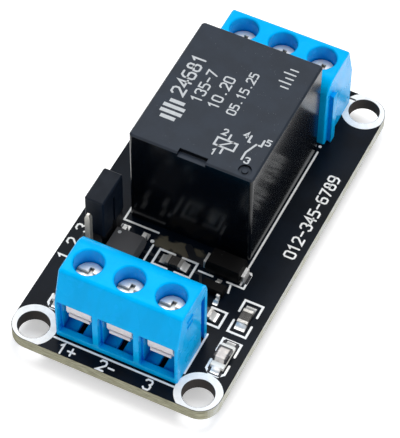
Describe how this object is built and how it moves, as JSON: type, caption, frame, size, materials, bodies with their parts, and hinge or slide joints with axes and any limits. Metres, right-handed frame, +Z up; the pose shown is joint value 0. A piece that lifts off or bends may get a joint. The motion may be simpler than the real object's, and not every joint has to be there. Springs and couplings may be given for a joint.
{
  "type": "relay module board",
  "caption": "Small drilled circuit board carrying a sealed relay, blue screw terminals at both ends, a pin header with a jumper cap and surface-mount parts.",
  "frame": {"origin": "centre of the board in plan, at the level of the solder tails' tips, which the module stands on", "axes": "+X across the board, +Y along the board from the input terminal to the output terminal, +Z up, away from the solder side"},
  "size_m": [0.026, 0.05, 0.0185],
  "materials": {
    "laminate": "solder mask, satin",
    "tin": "bright tin",
    "terminal_plastic": "moulded, semi-gloss",
    "screw_steel": "nickel plated",
    "cage_steel": "nickel plated",
    "contact_brass": "tinned brass",
    "relay_plastic": "fine matt texture",
    "bobbin_plastic": "moulded",
    "winding_copper": "enamelled wire",
    "soft_iron": "plated iron",
    "spring_bronze": "rolled strip",
    "header_plastic": "moulded",
    "jumper_plastic": "moulded",
    "resistor_ceramic": "glazed top",
    "package_epoxy": "moulded epoxy",
    "lamp_plate": "matt white",
    "lamp_lens": "clear resin"
  },
  "bodies": {
    "module": {"circuit_board": "laminate", "solder_joints": "tin", "input_terminal_housing": "terminal_plastic", "input_terminal_contact_1": "contact_brass", "input_terminal_contact_2": "contact_brass", "input_terminal_contact_3": "contact_brass", "output_terminal_housing": "terminal_plastic", "output_terminal_contact_1": "contact_brass", "output_terminal_contact_2": "contact_brass", "output_terminal_contact_3": "contact_brass", "relay_cover": "relay_plastic", "relay_base": "relay_plastic", "relay_yoke": "soft_iron", "relay_core": "soft_iron", "relay_bobbin": "bobbin_plastic", "relay_winding": "winding_copper", "relay_spring_leg": "spring_bronze", "relay_closed_contact": "contact_brass", "relay_open_contact": "contact_brass", "relay_coil_pins": "contact_brass", "relay_common_pin": "contact_brass", "header_base": "header_plastic", "header_pin_1": "contact_brass", "header_pin_2": "contact_brass", "header_pin_3": "contact_brass", "resistor_1_body": "resistor_ceramic", "resistor_1_ends": "tin", "resistor_2_body": "resistor_ceramic", "resistor_2_ends": "tin", "resistor_3_body": "resistor_ceramic", "resistor_3_ends": "tin", "status_lamp_base": "lamp_plate", "status_lamp_lens": "lamp_lens", "power_lamp_base": "lamp_plate", "power_lamp_lens": "lamp_lens", "optocoupler_body": "package_epoxy", "optocoupler_leads": "tin", "diode_body": "package_epoxy", "diode_leads": "tin", "transistor_body": "package_epoxy", "transistor_leads": "tin", "surface_pads": "tin"},
    "input_terminal_screw_1": {"input_terminal_screw_1": "screw_steel"},
    "input_terminal_cage_1": {"input_terminal_cage_1": "cage_steel"},
    "input_terminal_screw_2": {"input_terminal_screw_2": "screw_steel"},
    "input_terminal_cage_2": {"input_terminal_cage_2": "cage_steel"},
    "input_terminal_screw_3": {"input_terminal_screw_3": "screw_steel"},
    "input_terminal_cage_3": {"input_terminal_cage_3": "cage_steel"},
    "output_terminal_screw_1": {"output_terminal_screw_1": "screw_steel"},
    "output_terminal_cage_1": {"output_terminal_cage_1": "cage_steel"},
    "output_terminal_screw_2": {"output_terminal_screw_2": "screw_steel"},
    "output_terminal_cage_2": {"output_terminal_cage_2": "cage_steel"},
    "output_terminal_screw_3": {"output_terminal_screw_3": "screw_steel"},
    "output_terminal_cage_3": {"output_terminal_cage_3": "cage_steel"},
    "armature": {"relay_armature": "soft_iron", "relay_moving_contact": "spring_bronze"},
    "jumper": {"jumper_cap": "jumper_plastic", "jumper_clip": "contact_brass"}
  },
  "joints": [
    {"name": "input_screw_1_turn", "type": "hinge", "parent": "module", "child": "input_terminal_screw_1", "pos_m": [-0.00498, -0.01895, 0.01085], "axis": [0, 0, 1], "range_deg": [0, 1005]},
    {"name": "input_cage_1_slide", "type": "slide", "parent": "module", "child": "input_terminal_cage_1", "axis": [0, 0, -1], "range_m": [0, 0.00125]},
    {"name": "input_screw_2_turn", "type": "hinge", "parent": "module", "child": "input_terminal_screw_2", "pos_m": [0.0001, -0.01895, 0.01085], "axis": [0, 0, 1], "range_deg": [0, 1005]},
    {"name": "input_cage_2_slide", "type": "slide", "parent": "module", "child": "input_terminal_cage_2", "axis": [0, 0, -1], "range_m": [0, 0.00125]},
    {"name": "input_screw_3_turn", "type": "hinge", "parent": "module", "child": "input_terminal_screw_3", "pos_m": [0.00518, -0.01895, 0.01085], "axis": [0, 0, 1], "range_deg": [0, 1005]},
    {"name": "input_cage_3_slide", "type": "slide", "parent": "module", "child": "input_terminal_cage_3", "axis": [0, 0, -1], "range_m": [0, 0.00125]},
    {"name": "output_screw_1_turn", "type": "hinge", "parent": "module", "child": "output_terminal_screw_1", "pos_m": [0.00558, 0.01965, 0.01085], "axis": [0, 0, 1], "range_deg": [0, 1005]},
    {"name": "output_cage_1_slide", "type": "slide", "parent": "module", "child": "output_terminal_cage_1", "axis": [0, 0, -1], "range_m": [0, 0.00125]},
    {"name": "output_screw_2_turn", "type": "hinge", "parent": "module", "child": "output_terminal_screw_2", "pos_m": [0.0005, 0.01965, 0.01085], "axis": [0, 0, 1], "range_deg": [0, 1005]},
    {"name": "output_cage_2_slide", "type": "slide", "parent": "module", "child": "output_terminal_cage_2", "axis": [0, 0, -1], "range_m": [0, 0.00125]},
    {"name": "output_screw_3_turn", "type": "hinge", "parent": "module", "child": "output_terminal_screw_3", "pos_m": [-0.00458, 0.01965, 0.01085], "axis": [0, 0, 1], "range_deg": [0, 1005]},
    {"name": "output_cage_3_slide", "type": "slide", "parent": "module", "child": "output_terminal_cage_3", "axis": [0, 0, -1], "range_m": [0, 0.00125]},
    {"name": "armature_pull_in", "type": "hinge", "parent": "module", "child": "armature", "pos_m": [0, -0.002, 0.0145], "axis": [1, 0, 0], "range_deg": [-3.2, 0], "stiffness_Nm_per_rad": 0.002, "springref_deg": 14.32},
    {"name": "jumper_pull_off", "type": "slide", "parent": "module", "child": "jumper", "axis": [0, 0, 1], "range_m": [0, 0.0055]}
  ],
  "couplings": [
    {"joint": "input_screw_1_turn", "follows": "input_cage_1_slide", "rad_per_m": 13963},
    {"joint": "input_screw_2_turn", "follows": "input_cage_2_slide", "rad_per_m": 13963},
    {"joint": "input_screw_3_turn", "follows": "input_cage_3_slide", "rad_per_m": 13963},
    {"joint": "output_screw_1_turn", "follows": "output_cage_1_slide", "rad_per_m": 13963},
    {"joint": "output_screw_2_turn", "follows": "output_cage_2_slide", "rad_per_m": 13963},
    {"joint": "output_screw_3_turn", "follows": "output_cage_3_slide", "rad_per_m": 13963}
  ]
}
